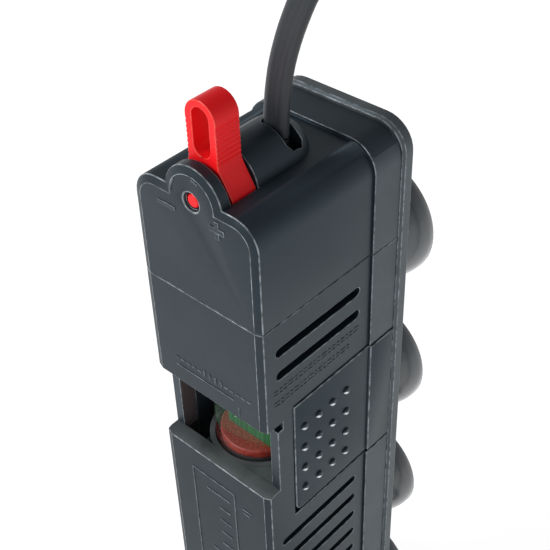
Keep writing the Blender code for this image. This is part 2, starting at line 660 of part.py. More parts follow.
def heating_core():
    disc = rod(DISC_RADIUS, at_tube(DISC_FOOT), at_tube(DISC_TOP), ROUND)
    finish(disc, "insulating_disc", (0.4, 0.03, 0.02), 0.5)
    pins = [(x, 20.5 * MM) for x in (-1.5 * MM, 5.5 * MM)]
    cut(disc, joined([rod(0.9 * MM, (x, y, 140 * MM), (x, y, 150 * MM), 12) for x, y in pins]), "pin_holes")
    collar = rod(12.3 * MM, at_tube(137.5 * MM), at_tube(DISC_FOOT - GAP), ROUND)
    finish(collar, "disc_collar", (0.16, 0.18, 0.18), 0.5)
    cut(collar, joined([rod(0.9 * MM, (x, y, 135 * MM), (x, y, 145 * MM), 12) for x, y in pins]), "pin_holes")
    for name, (x, y) in zip(("element_lead_live", "element_lead_neutral"), pins):
        wire = rod(0.6 * MM, (x, y, 134.6 * MM), (x, y, 149.5 * MM), 10)
        finish(wire, name, (0.7, 0.7, 0.7), 0.3, 1)
    core = turned(
        [
            (0, 134 * MM),
            (10.2 * MM, 134 * MM),
            (10.2 * MM, 131 * MM),
            (6.2 * MM, 131 * MM),
            (6.2 * MM, 42 * MM),
            (10.2 * MM, 42 * MM),
            (10.2 * MM, 39 * MM),
            (0, 39 * MM),
        ],
        24,
        at_tube(0),
    )
    finish(core, "ceramic_core", (0.82, 0.78, 0.7), 0.8)
    turns, points_per_turn, radius = 8, 10, 7.9 * MM
    points = []
    for i in range(turns * points_per_turn + 1):
        angle = 2 * math.pi * i / points_per_turn
        height = 46 * MM + 80 * MM * i / (turns * points_per_turn)
        x, depth = TUBE_X + radius * math.cos(angle), TUBE_AXIS_DEPTH + radius * math.sin(angle)
        points.append((x, FRONT + depth, height))
    finish(tube_along(points, 0.8 * MM, 0), "heating_coil", (0.6, 0.58, 0.56), 0.35, 1)


def tube_along(points, radius, resolution):
    """A round wire or lead through world points."""
    curve = bpy.data.curves.new("path", "CURVE")
    curve.dimensions = "3D"
    curve.bevel_depth = radius
    curve.bevel_resolution = resolution
    curve.use_fill_caps = True
    spline = curve.splines.new("POLY")
    spline.points.add(len(points) - 1)
    for point, place in zip(spline.points, points):
        point.co = (*place, 1)
    obj = bpy.data.objects.new("path", curve)
    helpers.objects.link(obj)
    return obj


def thermostat():
    steel = (0.7, 0.71, 0.72)
    board = box((-7.6 * MM, 10.6 * MM), (13.8 * MM, 15.4 * MM), (146 * MM, 201 * MM))
    finish(board, "circuit_board", (0.02, 0.16, 0.06), 0.45)
    frame = box((-4 * MM, 8.5 * MM), (15.7 * MM, 17.1 * MM), (149.8 * MM, 200 * MM))
    finish(frame, "thermostat_frame", (0.75, 0.72, 0.64), 0.5)
    strip = box((-2.5 * MM, 2.5 * MM), (18.2 * MM, 18.9 * MM), (152 * MM, 196 * MM))
    finish(strip, "bimetal_strip", (0.72, 0.66, 0.55), 0.3, 1)
    arm = box((5 * MM, 8 * MM), (18.3 * MM, 18.9 * MM), (158 * MM, 184 * MM))
    finish(arm, "contact_arm", steel, 0.3, 1)
    magnet = box((5 * MM, 8 * MM), (20.9 * MM, 23.1 * MM), (157 * MM, 161 * MM))
    finish(magnet, "contact_magnet", (0.12, 0.12, 0.13), 0.4, 1)
    contact = rod(0.9 * MM, (6.5 * MM, 17.4 * MM, 165 * MM), (6.5 * MM, 17.9 * MM, 165 * MM), 12)
    finish(contact, "fixed_contact", (0.8, 0.75, 0.6), 0.25, 1)
    lamps = (("heating_lamp", -2.6 * MM, (0.7, 0.12, 0.05)), ("ready_lamp", 2 * MM, (0.1, 0.6, 0.15)))
    for name, x, color in lamps:
        finish(rod(1.5 * MM, (x, 11.9 * MM, 164.5 * MM), (x, 11.9 * MM, 171.5 * MM), 14), name, color, 0.2)
    capacitor = box((-3 * MM, 6 * MM), (9.6 * MM, 13.4 * MM), (174 * MM, 185 * MM))
    finish(capacitor, "suppressor_capacitor", (0.6, 0.12, 0.08), 0.4)
    fuse = rod(1.4 * MM, (-3 * MM, 11.9 * MM, 189 * MM), (7 * MM, 11.9 * MM, 189 * MM), 14)
    finish(fuse, "thermal_fuse", (0.75, 0.75, 0.72), 0.4)


def screw(name, x, depth, tip, seat, direction):
    """A pan-head screw along Z; direction is +1 where the tip points up."""
    head = 2.2 * MM
    low, high = sorted((seat, tip))
    obj = rod(1.1 * MM, (x, depth, low), (x, depth, high), 12)
    finish(obj, name, (0.62, 0.63, 0.64), 0.3, 1)
    start, end = seat + 0.1 * MM * direction, seat - head * direction * 0.7
    add(obj, rod(2.6 * MM, (x, depth, start), (x, depth, end), 16), "head")


def supply_leads():
    """The lead's two conductors, from the drum down through the tube's plug to the thermostat."""
    names = ("supply_lead_live", "supply_lead_neutral")
    for name, x, offset in zip(names, SUPPLY_X, (-1.6 * MM, 1.6 * MM)):
        route = [
            (LEAD_X + offset, 30.4 * MM, 237.6 * MM),
            (LEAD_X + offset, 30.4 * MM, 230 * MM),
            (x - 0.6 * MM, 27 * MM, 226.2 * MM),
            (x, 19 * MM, 224.4 * MM),
            (x, 17.1 * MM, 221.6 * MM),
            (x, 16.4 * MM, 217 * MM),
            (x, 16.4 * MM, 200.6 * MM),
        ]
        points = [(px, FRONT + depth, z) for px, depth, z in route]
        finish(tube_along(points, 0.8 * MM, 1), name, (0.5, 0.25, 0.1), 0.5)


def cord_fittings():
    grommet = prism([lead_outline(3.5 * MM, 2.5 * MM)], "Z", 238.5 * MM, 246 * MM)
    finish(grommet, "cord_grommet", (0.02, 0.02, 0.022), 0.55)
    depths = (CLAMP_DEPTH - 3.2 * MM, CLAMP_DEPTH + 3.2 * MM)
    clamp = box((-12.4 * MM, 12.4 * MM), depths, (227.3 * MM, 230.2 * MM))
    finish(clamp, "cord_clamp", (0.75, 0.74, 0.7), 0.5)
    sides = (-9 * MM, 9 * MM)
    holes = [rod(1.4 * MM, (x, CLAMP_DEPTH, 226 * MM), (x, CLAMP_DEPTH, 232 * MM), 12) for x in sides]
    cut(clamp, joined(holes), "screw_holes")
    for number, x in enumerate((-9 * MM, 9 * MM), 1):
        screw(f"clamp_screw_{number}", x, CLAMP_DEPTH, 236.5 * MM, 226.9 * MM, 1)
    for number, x in enumerate((-15 * MM, 15 * MM), 1):
        screw(f"head_screw_{number}", x, 50 * MM, 218 * MM, 203.1 * MM, 1)
        screw(f"base_screw_{number}", x, 50 * MM, 18 * MM, 2.1 * MM, 1)


def smooth_path(route, spacing):
    """Evenly spaced points on a smooth curve through the route's own points, kept by arc length."""
    dense = []
    padded = [route[0] * 2 - route[1], *route, route[-1] * 2 - route[-2]]
    for a, b, c, d in zip(padded, padded[1:], padded[2:], padded[3:]):
        for i in range(24):
            t = i / 24
            bend = (2 * a - 5 * b + 4 * c - d) * t**2 + (3 * b - a - 3 * c + d) * t**3
            dense.append(0.5 * (2 * b + (c - a) * t + bend))
    dense.append(route[-1])
    kept = [dense[0]]
    for point in dense[1:-1]:
        if (point - kept[-1]).length >= spacing:
            kept.append(point)
    if (dense[-1] - kept[-1]).length < spacing / 2:
        kept.pop()
    kept.append(dense[-1])
    return kept


# The lead rises from the drum, bends over beside the head and comes down to the coil, in world millimetres.
LEAD_ROUTE = [
    (1.6, -8.3, 246.4),
    (1.7, -8.3, 252),
    (2.2, -8, 259),
    (3.3, -7, 268),
    (5.6, -4.9, 278.5),
    (9, -1.8, 288.5),
    (15, 4, 298),
    (25, 12.5, 304.6),
    (38, 20.5, 305.5),
    (51, 26.5, 299.5),
    (62.5, 30.5, 286),
    (72, 33, 268),
    (79.5, 34.5, 246),
    (85, 35.5, 222),
    (89.2, 36, 195),
    (92.2, 36, 165),
    (94.9, 35.6, 135),
    (98, 34.2, 105),
    (101.6, 31.8, 80),
    (105, 28.2, 57),
    (107.4, 22.5, 38),
    (109.1, 11.5, 20),
]

# From the coil's front side to the plug, in world millimetres.
TAIL_ROUTE = [
    (51.4, -48.4, 5.9),
    (47.5, -48.8, 6.5),
    (43.6, -49, 7),
]


def world_points(route):
    return [Vector(point) * MM for point in route]


def mains_lead():
    black = (0.025, 0.027, 0.03)
    lead = smooth_path(world_points(LEAD_ROUTE), 5.6 * MM)
    finish(tube_along(lead, LEAD_RADIUS, 2), "cord", black, 0.45)
    tail = smooth_path(world_points(TAIL_ROUTE), 4 * MM)
    finish(tube_along(tail, LEAD_RADIUS, 2), "cord_tail", black, 0.45)
    low, high = COIL_RADIUS - COIL_HALF_WIDTH, COIL_RADIUS + COIL_HALF_WIDTH
    edge = 2.5 * MM
    section = [
        (high - edge, COIL_TOP),
        (high, COIL_TOP - edge),
        (high, COIL_FOOT + edge),
        (high - edge, COIL_FOOT),
        (low + edge, COIL_FOOT),
        (low, COIL_FOOT + edge),
        (low, COIL_TOP - edge),
        (low + edge, COIL_TOP),
    ]
    coil = turned(section, 48, (COIL_X, COIL_Y - FRONT, 0))
    finish(coil, "cord_coil", black, 0.45)
    tie()
    plug()


def tie():
    """A strap round the coil on its far side."""
    outer_half, inner_half = COIL_HALF_WIDTH + 1.1 * MM, COIL_HALF_WIDTH + 0.4 * MM
    low, high = 0.1 * MM, COIL_TOP + MM

    def frame(half, foot, top):
        middle = COIL_Y + COIL_RADIUS - FRONT
        return [(middle - half, foot), (middle + half, foot), (middle + half, top), (middle - half, top)]

    inside = frame(inner_half, low + 0.5 * MM, high - 0.6 * MM)
    obj = prism([frame(outer_half, low, high), inside], "X", COIL_X - 3 * MM, COIL_X + 3 * MM)
    finish(obj, "cord_tie", (0.04, 0.04, 0.045), 0.5)


def plug():
    """A flat two-pin plug lying in front of the heater, pins to -X."""
    middle_depth = -49 * MM - FRONT
    outline = [(43 * MM, -2.6 * MM), (43 * MM, 2.6 * MM), (30 * MM, 3.4 * MM), (22 * MM, 7 * MM)]
    outline.append((5 * MM, 7 * MM))
    outline += [(5 * MM, -7 * MM), (22 * MM, -7 * MM), (30 * MM, -3.4 * MM)]
    outline = [(x, middle_depth + y) for x, y in outline]
    body = prism([outline], "Z", 0.2 * MM, 13.8 * MM)
    finish(body, "plug_body", (0.025, 0.027, 0.03), 0.4)
    for number, offset in enumerate((-4.6 * MM, 4.6 * MM), 1):
        y = middle_depth + offset
        pin = rod(2 * MM, (4.7 * MM, y, 7 * MM), (-13.5 * MM, y, 7 * MM), 16, 1.9 * MM)
        finish(pin, f"plug_pin_{number}", (0.75, 0.62, 0.35), 0.25, 1)


clear_scene()
pieces = collection(PART)
helpers = collection("cutters", hidden=True)
head_housing()
temperature_lever()
main_housing()
latch_pad(1, "latch_pad_right")
latch_pad(-1, "latch_pad_left")
back_plate()
for index, cup_height in enumerate(CUP_HEIGHTS, 1):
    suction_cup(index, cup_height)
base_cap()
setting_train()
glass_tube()
tube_fittings()
heating_core()
thermostat()
supply_leads()
cord_fittings()
mains_lead()
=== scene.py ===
"""Looks of a submersible aquarium heater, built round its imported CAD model.

Frame: +Z up, +Y from the front face to the suction cups, +X to the right seen from the front. Lengths are
millimetres times MM, apart from those of the mains lead. Depths count from the front face, and heights from
the foot.
"""

import json
import math

import bmesh
import bpy
import numpy as np
from mathutils import Matrix, Vector


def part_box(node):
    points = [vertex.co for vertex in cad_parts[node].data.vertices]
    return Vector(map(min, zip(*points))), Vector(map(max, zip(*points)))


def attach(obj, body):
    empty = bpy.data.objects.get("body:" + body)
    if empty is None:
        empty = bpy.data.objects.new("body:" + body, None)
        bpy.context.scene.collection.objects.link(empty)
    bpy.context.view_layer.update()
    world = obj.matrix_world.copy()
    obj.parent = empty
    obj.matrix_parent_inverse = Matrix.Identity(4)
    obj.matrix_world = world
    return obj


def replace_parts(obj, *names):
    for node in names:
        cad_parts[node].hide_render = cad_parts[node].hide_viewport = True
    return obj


MM = 0.001
FRONT = -38.5 * MM  # Y of the front face
PIVOT = 240.5 * MM  # height of the lever's axis
SIDE = 22 * MM  # X of the body's side
SLAB = 45.2 * MM  # depth at which the body widens into the slab
SILL = 143.2 * MM  # height of the window's foot
LEVER_TOP = 267 * MM
LEVER_FRONT = 5.2 * MM  # depth of the lever's front face

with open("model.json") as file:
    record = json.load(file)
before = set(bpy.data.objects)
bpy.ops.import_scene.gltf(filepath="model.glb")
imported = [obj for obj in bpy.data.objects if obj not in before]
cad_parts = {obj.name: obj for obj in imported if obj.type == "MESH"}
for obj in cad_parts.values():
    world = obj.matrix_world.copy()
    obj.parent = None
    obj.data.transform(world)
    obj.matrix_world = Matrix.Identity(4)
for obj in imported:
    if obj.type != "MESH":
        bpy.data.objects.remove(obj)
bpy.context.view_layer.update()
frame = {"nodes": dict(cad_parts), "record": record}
nodes = frame["nodes"]
scene = bpy.context.scene


# ---------------------------------------------------------------- camera


def make_camera():
    azimuth, elevation, roll = (math.radians(a) for a in (43.66, 39.39, -2.2))
    back = Vector(
        (
            math.sin(azimuth) * math.cos(elevation),
            -math.cos(azimuth) * math.cos(elevation),
            math.sin(elevation),
        )
    )
    right = Vector((0, 0, 1)).cross(back).normalized()
    up = back.cross(right)
    level_right, level_up = right.copy(), up.copy()
    right = math.cos(roll) * level_right + math.sin(roll) * level_up
    up = math.cos(roll) * level_up - math.sin(roll) * level_right
    camera = bpy.data.objects.new("camera", bpy.data.cameras.new("camera"))
    scene.collection.objects.link(camera)
    camera.data.sensor_width = 36
    camera.data.lens = 71.3
    camera.data.clip_start = 0.01
    turn = Matrix((right, up, back)).transposed().to_4x4()
    camera.matrix_world = Matrix.Translation(Vector((166.6, -183.9, 397.1)) * MM) @ turn
    scene.camera = camera


# ---------------------------------------------------------------- materials


class Graph:
    """A material's node tree, with short calls to add to it."""

    def __init__(self, name, **values):
        self.material = bpy.data.materials.new(name)
        self.material.use_nodes = True
        self.tree = self.material.node_tree
        self.shader = self.tree.nodes["Principled BSDF"]
        for key, value in values.items():
            self.shader.inputs[key.replace("_", " ")].default_value = value

    def node(self, kind, inputs=None, **settings):
        made = self.tree.nodes.new(kind)
        for key, value in settings.items():
            setattr(made, key, value)
        for key, value in (inputs or {}).items():
            if isinstance(value, bpy.types.NodeSocket):
                self.tree.links.new(value, made.inputs[key])
            else:
                made.inputs[key].default_value = value
        return made

    def link(self, output, socket):
        self.tree.links.new(output, self.shader.inputs[socket])

    def place(self):
        return self.node("ShaderNodeTexCoord").outputs["Object"]

    def noise(self, scale, detail=3, stretch=None):
        vector = self.place()
        if stretch:
            vector = self.node("ShaderNodeMapping", {"Vector": vector, "Scale": stretch}).outputs["Vector"]
        made = self.node("ShaderNodeTexNoise", {"Vector": vector, "Scale": scale, "Detail": detail})
        return made.outputs["Fac"]

    def ramp(self, value, low, high, bottom=0.0, top=1.0):
        made = self.node(
            "ShaderNodeMapRange",
            {"Value": value, "From Min": low, "From Max": high, "To Min": bottom, "To Max": top},
        )
        return made.outputs["Result"]

    def mix(self, amount, a, b):
        made = self.node("ShaderNodeMix", data_type="RGBA")
        for index, value in ((0, amount), (6, a), (7, b)):
            if isinstance(value, bpy.types.NodeSocket):
                self.tree.links.new(value, made.inputs[index])
            else:
                made.inputs[index].default_value = value
        return made.outputs[2]

    def bump(self, height, strength, distance):
        made = self.node("ShaderNodeBump", {"Height": height, "Strength": strength, "Distance": distance})
        self.link(made.outputs["Normal"], "Normal")


def shade(color, factor):
    return (*(min(1, channel * factor) for channel in color), 1)


COOL = (0.66, 0.88, 1.0, 1)  # tint of the sheen on the dark mouldings


def plastic(name, color, roughness=0.45, grain=0.25, mottle=0.12, **values):
    """Moulded plastic: fine grain and faint cloudy mottling."""
    g = Graph(name, **values)
    cloud = g.ramp(g.noise(90, 4), 0.35, 0.65)
    g.link(g.mix(cloud, shade(color, 1 - mottle), shade(color, 1 + mottle)), "Base Color")
    fine = g.noise(5200, 2)
    g.link(g.ramp(fine, 0.3, 0.7, roughness - 0.06, roughness + 0.08), "Roughness")
    g.bump(fine, grain, 0.04 * MM)
    return g.material


def arris(name, color, brighter_highlight):
    """The bevelled edges of a moulding: a painted highlight, paler than the moulding and brighter still in
    random patches.
    """
    g = Graph(name, Roughness=0.3)
    # Random patches where the painted edge highlight is brighter.
    painted_highlight = g.ramp(g.noise(420, 4), 0.38, 0.62)
    g.link(g.mix(painted_highlight, (*color, 1), (*brighter_highlight, 1)), "Base Color")
    return g.material


def rubber(name, color, roughness=0.4, grain=0.15, coat=0.0):
    """Rubber: soft sheen, faint clouds and a few pale dust specks."""
    g = Graph(name)
    cloud = g.ramp(g.noise(60, 3), 0.3, 0.7)
    specks = g.ramp(g.noise(1800, 1), 0.68, 0.74)
    base = g.mix(cloud, shade(color, 0.88), shade(color, 1.12))
    g.link(g.mix(specks, base, shade(color, 1.5)), "Base Color")
    g.link(g.ramp(cloud, 0, 1, roughness - 0.04, roughness + 0.06), "Roughness")
    g.bump(g.noise(2600, 3), grain, 0.03 * MM)
    g.shader.inputs["Coat Weight"].default_value = coat
    g.shader.inputs["Coat Roughness"].default_value = 0.22
    return g.material


def metal(name, color, roughness=0.28):
    """Turned or drawn metal with fine lines."""
    g = Graph(name, Metallic=1.0)
    lines = g.noise(900, 2, stretch=(1, 1, 14))
    g.link(g.mix(lines, shade(color, 0.8), shade(color, 1.1)), "Base Color")
    g.link(g.ramp(lines, 0.3, 0.7, roughness - 0.08, roughness + 0.1), "Roughness")
    g.bump(lines, 0.1, 0.02 * MM)
    return g.material


def pressed_board():
    """The red insulating disc: pressed fibre with a speckled, slightly rough face."""
    color = (0.5, 0.045, 0.028)
    g = Graph("disc_fibre", Roughness=0.42)
    fibre = g.ramp(g.noise(1400, 5), 0.35, 0.68)
    base = g.mix(fibre, shade(color, 0.45), shade(color, 1.25))
    glints = g.ramp(g.noise(2600, 2), 0.62, 0.7)
    g.link(g.mix(glints, base, (0.75, 0.3, 0.18, 1)), "Base Color")
    g.bump(g.noise(1600, 4), 0.6, 0.12 * MM)
    return g.material


def board_green():
    color = (0.012, 0.14, 0.045)
    g = Graph("board_green", Roughness=0.3)
    tracks = g.node("ShaderNodeTexBrick", {"Vector": g.place(), "Scale": 260.0, "Mortar Size": 0.03})
    tracks.inputs["Color1"].default_value = shade(color, 0.9)
    tracks.inputs["Color2"].default_value = shade(color, 1.2)
    tracks.inputs["Mortar"].default_value = shade(color, 2.4)
    g.link(tracks.outputs["Color"], "Base Color")
    g.bump(tracks.outputs["Fac"], 0.3, 0.05 * MM)
    return g.material


def clear_glass():
    g = Graph(
        "tube_glass",
        Base_Color=(0.86, 0.9, 0.91, 1),
        Roughness=0.03,
        IOR=1.47,
        Transmission_Weight=1.0,
        Alpha=0.22,
    )
    g.bump(g.noise(30, 2), 0.05, 0.1 * MM)
    return g.material


def ceramic():
    color = (0.72, 0.68, 0.6)
    g = Graph("ceramic", Roughness=0.8)
    g.link(g.mix(g.noise(500, 4), shade(color, 0.85), shade(color, 1.1)), "Base Color")
    g.bump(g.noise(900, 3), 0.4, 0.1 * MM)
    return g.material


BODY_GREY = (0.01, 0.015, 0.021)
PAD_GREY = (0.014, 0.021, 0.027)
# Painted highlight colours for bevelled edges: the first all along them, the second in random brighter
# patches.
EDGE_HIGHLIGHT_GREY, BRIGHT_EDGE_HIGHLIGHT_GREY = (0.06, 0.076, 0.086), (0.26, 0.3, 0.33)
RED = (0.82, 0.008, 0.012)
CUP_GREY = (0.036, 0.047, 0.056)
BLACK = (0.012, 0.013, 0.015)


def make_materials():
    return {
        "housing": plastic("housing_plastic", BODY_GREY, Specular_IOR_Level=0.5, Specular_Tint=COOL),
        "pads": plastic("pad_plastic", PAD_GREY, Specular_IOR_Level=0.5, Specular_Tint=COOL),
        # Painted shade: the front faces are the body's plastic with less sheen, and the lower front with less
        # still, so that they read darker.
        "front_face": plastic("front_face", BODY_GREY, Specular_IOR_Level=0.32, Specular_Tint=COOL),
        "lower_front": plastic("lower_front", BODY_GREY, Specular_IOR_Level=0.2, Specular_Tint=COOL),
        # Painted light: the slab's sides and the back plate are paler copies of the body's grey, standing in
        # for the light they catch.
        "slab_sides": plastic("slab_sides", (0.04, 0.048, 0.056), Specular_Tint=COOL),
        "plate": plastic("plate", (0.065, 0.074, 0.08), Specular_Tint=COOL),
        # Painted light: the window's foot and its inner walls are paler than the body's grey, standing in for
        # the light that reaches into the window; the foot is also mottled.
        "sill": plastic("sill", (0.07, 0.08, 0.084), mottle=0.35),
        "inner_walls": plastic("inner_walls", (0.075, 0.062, 0.066)),
        # Painted highlights: paler materials on bevelled edges, and on the nubs' lower fronts.
        "housing_arris": arris("housing_arris", EDGE_HIGHLIGHT_GREY, BRIGHT_EDGE_HIGHLIGHT_GREY),
        "pads_arris": arris("pad_arris", EDGE_HIGHLIGHT_GREY, BRIGHT_EDGE_HIGHLIGHT_GREY),
        "nub_glints": arris("nub_glints", (0.6, 0.66, 0.7), (0.85, 0.88, 0.9)),
        "red_plastic": plastic("lever_plastic", RED, 0.4, grain=0.12, mottle=0.04, Specular_IOR_Level=0.2),
        "red_plastic_arris": arris("lever_arris", (0.85, 0.02, 0.015), (0.9, 0.07, 0.045)),
        "cup_rubber": rubber("cup_rubber", CUP_GREY, roughness=0.3, coat=1.0),
        "seal_rubber": rubber("seal_rubber", BLACK, roughness=0.55),
        "lead_jacket": rubber("lead_jacket", (0.016, 0.02, 0.025), roughness=0.4, grain=0.2),
        "glass": clear_glass(),
        "disc": pressed_board(),
        "collar": plastic("collar_plastic", (0.09, 0.1, 0.1), roughness=0.5),
        "board": board_green(),
        "frame_plastic": plastic("frame_plastic", (0.66, 0.62, 0.54)),
        "brass": metal("brass", (0.72, 0.52, 0.22)),
        "steel": metal("steel", (0.58, 0.59, 0.6)),
        "ceramic": ceramic(),
        "coil_wire": metal("coil_wire", (0.45, 0.42, 0.38), roughness=0.4),
        "lamp_red": plastic("lamp_red", (0.6, 0.06, 0.03), roughness=0.15),
        "lamp_green": plastic("lamp_green", (0.06, 0.45, 0.1), roughness=0.15),
        "capacitor": plastic("capacitor", (0.5, 0.08, 0.05), roughness=0.3),
        "wire_brown": plastic("wire_brown", (0.16, 0.06, 0.025)),
        "wire_blue": plastic("wire_blue", (0.02, 0.07, 0.26)),
        "tie": plastic("tie_plastic", (0.03, 0.03, 0.033), roughness=0.4),
    }


# ---------------------------------------------------------------- shape helpers


def new_object(name, bm):
    bmesh.ops.recalc_face_normals(bm, faces=bm.faces)
    mesh = bpy.data.meshes.new(name)
    bm.to_mesh(mesh)
    bm.free()
    obj = bpy.data.objects.new(name, mesh)
    scene.collection.objects.link(obj)
    return obj


def coat(obj, slot):
    """Gives a bare piece its material and, where the slot has one, the paler one painted on its bevelled
    edges as a highlight.
    """
    if len(obj.data.materials):
        return obj
    obj.data.materials.append(materials[slot])
    if f"{slot}_arris" in materials:
        obj.data.materials.append(materials[f"{slot}_arris"])
        for modifier in obj.modifiers:
            modifier.material = 1
    return obj


def dress(obj, slot, body="heater", angle=35):
    """Gives a finished piece its material slot, smooth sides and the body it rides on."""
    coat(obj, slot)
    obj.data.shade_smooth()
    obj.data.set_sharp_from_angle(angle=math.radians(angle))
    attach(obj, body)
    return obj


def bevel(obj, width, segments=2, angle=30):
    modifier = obj.modifiers.new("edge", "BEVEL")
    modifier.width = width
    modifier.segments = segments
    modifier.limit_method = "ANGLE"
    modifier.angle_limit = math.radians(angle)
    modifier.use_clamp_overlap = False
    modifier.harden_normals = True
    return obj


def applied(obj):
    """The object with its modifiers made part of its mesh."""
    graph = bpy.context.evaluated_depsgraph_get()
    mesh = bpy.data.meshes.new_from_object(obj.evaluated_get(graph))
    obj.modifiers.clear()
    obj.data = mesh
    return obj


def joined(name, objects):
    bm = bmesh.new()
    for obj in objects:
        obj.data.transform(obj.matrix_basis)
        bm.from_mesh(obj.data)
        bpy.data.objects.remove(obj)
    return new_object(name, bm)


def arc(cx, cy, radius, start, end, steps):
    angles = np.radians(np.linspace(start, end, steps + 1))
    return [(cx + radius * math.cos(a), cy + radius * math.sin(a)) for a in angles]


# Columns of a prism's turn: its outline's two directions and its length.
TURNS = {
    "X": ((0, 1, 0), (0, 0, 1), (1, 0, 0)),
    "Y": ((1, 0, 0), (0, 0, 1), (0, -1, 0)),
    "Z": ((1, 0, 0), (0, 1, 0), (0, 0, 1)),
}


def prism(name, outlines, along, start, end):
    """Outlines, or one with holes, stretched along an axis.

    Their points are (depth, z) along X, (x, z) along Y and (x, depth) along Z.
    """
    curve = bpy.data.curves.new(name, "CURVE")
    curve.dimensions = "2D"
    curve.fill_mode = "BOTH"
    curve.extrude = abs(end - start) / 2
    for outline in outlines:
        spline = curve.splines.new("POLY")
        spline.points.add(len(outline) - 1)
        for point, (u, v) in zip(spline.points, outline):
            shifted = (u + FRONT if along == "X" else u, v + FRONT if along == "Z" else v)
            point.co = (*shifted, 0, 1)
        spline.use_cyclic_u = True
    flat = bpy.data.objects.new(name, curve)
    scene.collection.objects.link(flat)
    graph = bpy.context.evaluated_depsgraph_get()
    mesh = bpy.data.meshes.new_from_object(flat.evaluated_get(graph))
    bpy.data.objects.remove(flat)
    turn = Matrix(TURNS[along]).transposed().to_4x4()
    middle = (start + end) / 2 + (FRONT if along == "Y" else 0)
    turn.translation = [middle if axis == along else 0 for axis in "XYZ"]
    bm = bmesh.new()
    bm.from_mesh(mesh)
    bmesh.ops.remove_doubles(bm, verts=bm.verts, dist=0.001 * MM)
    bmesh.ops.dissolve_limit(bm, angle_limit=0.01, verts=bm.verts, edges=bm.edges)
    bmesh.ops.transform(bm, matrix=turn, verts=bm.verts)
    return new_object(name, bm)


def box(x, depth, z):
    bm = bmesh.new()
    bmesh.ops.create_cube(bm, size=1)
    bmesh.ops.scale(bm, vec=(x[1] - x[0], depth[1] - depth[0], z[1] - z[0]), verts=bm.verts)
    middle = Vector((sum(x) / 2, FRONT + sum(depth) / 2, sum(z) / 2))
    bmesh.ops.translate(bm, vec=middle, verts=bm.verts)
    return new_object("box", bm)


def lathe(name, profile, place, axis="Z", steps=64):
    """A profile of (radius, height) points, turned about a line along Z or +Y through (x, depth, z)."""
    bm = bmesh.new()
    rings = []
    for radius, height in profile:
        if radius < 0.001 * MM:
            rings.append([bm.verts.new((0, 0, height))])
            continue
        angles = [2 * math.pi * i / steps for i in range(steps)]
        rings.append([bm.verts.new((radius * math.cos(a), radius * math.sin(a), height)) for a in angles])
    for lower, upper in zip(rings, rings[1:]):
        for i in range(steps):
            j = (i + 1) % steps
            corners = [ring[k % len(ring)] for ring, k in ((lower, i), (lower, j), (upper, j), (upper, i))]
            unique = list(dict.fromkeys(corners))
            if len(unique) > 2:
                bm.faces.new(unique)
    obj = new_object(name, bm)
    turn = Matrix.Rotation(math.radians(-90), 4, "X") if axis == "Y" else Matrix.Identity(4)
    x, depth, z = place
    obj.data.transform(Matrix.Translation((x, FRONT + depth, z)) @ turn)
    return obj


def smooth_outline(points):
    """An open profile with its corners cut twice over. Its ends stay."""
    for _ in range(2):
        cut = [points[0]]
        for (a, b), (c, d) in zip(points, points[1:]):
            cut.append((0.75 * a + 0.25 * c, 0.75 * b + 0.25 * d))
            cut.append((0.25 * a + 0.75 * c, 0.25 * b + 0.75 * d))
        points = [*cut, points[-1]]
    return points


def weigh_edges(bm):
    """Marks the edges to round.

    These are the sharp ones, and more finely those where the front face meets its bands. The edges of the
    rings that hold the tube stay as they are.
    """
    weight = bm.edges.layers.float.new("bevel_weight_edge")
    low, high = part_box("glass_tube")
    axis, near = (low + high) / 2, (high.x - low.x) / 2 + 2.5 * MM
    sharp, shallow = math.radians(31), math.radians(14)
    for edge in bm.edges:
        turn = edge.calc_face_angle_signed(0)
        on_front = all(abs(vertex.co.y - FRONT) < 0.02 * MM for vertex in edge.verts)
        middle = (edge.verts[0].co + edge.verts[1].co) / 2
        if math.hypot(middle.x - axis.x, middle.y - axis.y) < near and middle.z < 200 * MM:
            continue
        if turn > sharp:
            edge[weight] = 1
        elif on_front and turn > shallow:
            edge[weight] = 0.4


def rounded_copy(node, name, width, tones=()):
    """A moulding of the CAD model with its sharp edges rounded.

    A tone is a material's key and the test of the faces that wear it; the tones are painted light and shade,
    lit and shaded copies of the plastic. The last one that fits is used.
    """
    bm = bmesh.new()
    bm.from_mesh(nodes[node].data)
    bmesh.ops.remove_doubles(bm, verts=bm.verts, dist=0.002 * MM)
    bmesh.ops.dissolve_degenerate(bm, edges=bm.edges, dist=0.01 * MM)
    bmesh.ops.dissolve_limit(bm, angle_limit=math.radians(1), verts=bm.verts, edges=bm.edges)
    weigh_edges(bm)
    bmesh.ops.recalc_face_normals(bm, faces=bm.faces)
    for index, (_, is_worn_by) in enumerate(tones, 2):
        for face in bm.faces:
            if is_worn_by(face.normal, face.calc_center_median()):
                face.material_index = index
    obj = bevel(new_object(name, bm), width)
    obj.modifiers["edge"].limit_method = "WEIGHT"
    dress(obj, "housing", angle=30)
    for tone, _ in tones:
        obj.data.materials.append(materials[tone])
    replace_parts(obj, node)


# Painted shade: the faces found here wear the darker front materials.
def is_front(normal, middle):
    return normal.y < -0.9 and middle.y < FRONT + MM


def is_lower_front(normal, middle):
    return is_front(normal, middle) and middle.z < SILL


# Painted light: these side faces of the slab wear a paler grey.
def is_slab_side(normal, middle):
    return abs(normal.x) > 0.35 and abs(middle.x) > SIDE - MM and middle.y > FRONT + SLAB


def is_sill(normal, middle):
    """The window's foot, with the web and the top of the ring behind it: up-facing faces that wear a paler,
    mottled grey as painted light.
    """
    return normal.z > 0.5 and abs(middle.z - SILL) < 2.5 * MM and middle.y < FRONT + 34 * MM


# Painted light: the window's inner walls wear a paler, warmer grey.
def is_inner_wall(normal, middle):
    return normal.x * middle.x < 0 and abs(normal.x) > 0.9 and abs(middle.x) > 17 * MM


def is_any(normal, middle):
    return True


# ---------------------------------------------------------------- mains lead

